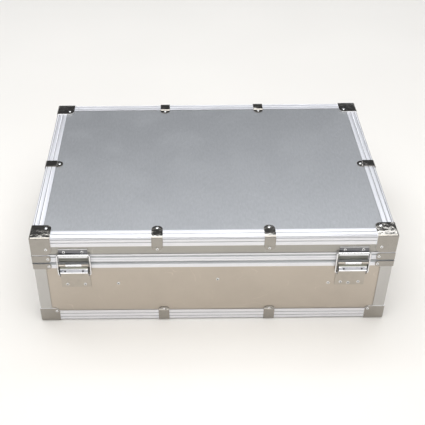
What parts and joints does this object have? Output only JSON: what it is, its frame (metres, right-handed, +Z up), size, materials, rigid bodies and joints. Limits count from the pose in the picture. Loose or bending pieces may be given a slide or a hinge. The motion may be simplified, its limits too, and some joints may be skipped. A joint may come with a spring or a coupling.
{
  "type": "aluminium equipment case",
  "caption": "Flat aluminium-framed hard case with a hinged lid, draw latches, steel corner caps, edge clips and drop handles on the short sides.",
  "frame": {"origin": "on the floor under the middle of the closed case, at the level of the undersides of the corner caps", "axes": "+X to the right along the long front, -Y out of the latch side (front), +Z up through the lid"},
  "size_m": [0.676, 0.4698, 0.205],
  "materials": {
    "top_sheet": "fine satin aluminium sheet, faintly mottled, on board",
    "side_sheet": "satin aluminium sheet on board, warm grey",
    "edge_profile": "bright anodised ribbed extrusion",
    "corner_steel": "bright plated pressed steel",
    "latch_steel": "bright zinc plated pressed steel and wire",
    "fitting_steel": "plated steel",
    "foam_lining": "closed cell foam sheet"
  },
  "bodies": {
    "base": {"base_edge_frame": "edge_profile", "base_rim": "edge_profile", "base_bottom_panel": "side_sheet", "base_front_panel": "side_sheet", "base_back_panel": "side_sheet", "base_left_panel": "side_sheet", "base_right_panel": "side_sheet", "base_lining": "foam_lining", "base_post_front_left": "edge_profile", "base_post_front_right": "edge_profile", "base_post_back_left": "edge_profile", "base_post_back_right": "edge_profile", "base_cap_front_left": "corner_steel", "base_cap_front_right": "corner_steel", "base_cap_back_left": "corner_steel", "base_cap_back_right": "corner_steel", "base_bracket_front_left": "corner_steel", "base_bracket_front_right": "corner_steel", "base_bracket_back_left": "corner_steel", "base_bracket_back_right": "corner_steel", "base_clip_front_left": "corner_steel", "base_clip_front_right": "corner_steel", "left_latch_plate": "latch_steel", "right_latch_plate": "latch_steel", "left_hinge_base_leaf": "fitting_steel", "right_hinge_base_leaf": "fitting_steel", "left_handle_plate": "fitting_steel", "right_handle_plate": "fitting_steel"},
    "lid": {"lid_edge_frame": "edge_profile", "lid_rim": "edge_profile", "lid_top_panel": "top_sheet", "lid_front_panel": "side_sheet", "lid_back_panel": "side_sheet", "lid_left_panel": "side_sheet", "lid_right_panel": "side_sheet", "lid_lining": "foam_lining", "lid_cap_front_left": "corner_steel", "lid_cap_front_right": "corner_steel", "lid_cap_back_left": "corner_steel", "lid_cap_back_right": "corner_steel", "lid_bracket_front_left": "corner_steel", "lid_bracket_front_right": "corner_steel", "lid_bracket_back_left": "corner_steel", "lid_bracket_back_right": "corner_steel", "lid_clip_front_left": "corner_steel", "lid_clip_front_right": "corner_steel", "lid_clip_back_left": "corner_steel", "lid_clip_back_right": "corner_steel", "lid_clip_left": "corner_steel", "lid_clip_right": "corner_steel", "left_strike": "latch_steel", "right_strike": "latch_steel", "left_hinge_lid_leaf": "fitting_steel", "right_hinge_lid_leaf": "fitting_steel"},
    "left_lever": {"left_lever": "latch_steel"},
    "left_bail": {"left_bail": "latch_steel"},
    "left_handle": {"left_handle": "fitting_steel"},
    "right_lever": {"right_lever": "latch_steel"},
    "right_bail": {"right_bail": "latch_steel"},
    "right_handle": {"right_handle": "fitting_steel"}
  },
  "joints": [
    {"name": "lid_hinge", "type": "hinge", "parent": "base", "child": "lid", "pos_m": [0, 0.2291, 0.1455], "axis": [-1, 0, 0], "range_deg": [0, 100]},
    {"name": "left_lever_hinge", "type": "hinge", "parent": "base", "child": "left_lever", "pos_m": [-0.25, -0.233, 0.146], "axis": [-1, 0, 0], "range_deg": [0, 115]},
    {"name": "left_bail_hinge", "type": "hinge", "parent": "left_lever", "child": "left_bail", "pos_m": [-0.25, -0.2307, 0.122], "axis": [-1, 0, 0], "range_deg": [-138, 0]},
    {"name": "right_lever_hinge", "type": "hinge", "parent": "base", "child": "right_lever", "pos_m": [0.25, -0.233, 0.146], "axis": [-1, 0, 0], "range_deg": [0, 115]},
    {"name": "right_bail_hinge", "type": "hinge", "parent": "right_lever", "child": "right_bail", "pos_m": [0.25, -0.2307, 0.122], "axis": [-1, 0, 0], "range_deg": [-138, 0]},
    {"name": "left_handle_hinge", "type": "hinge", "parent": "base", "child": "left_handle", "pos_m": [-0.3316, 0, 0.098], "axis": [0, 1, 0], "range_deg": [0, 90]},
    {"name": "right_handle_hinge", "type": "hinge", "parent": "base", "child": "right_handle", "pos_m": [0.3316, 0, 0.098], "axis": [0, -1, 0], "range_deg": [0, 90]}
  ],
  "couplings": [
    {"joint": "left_bail_hinge", "follows": "left_lever_hinge", "ratio": -1.2},
    {"joint": "right_bail_hinge", "follows": "right_lever_hinge", "ratio": -1.2}
  ]
}
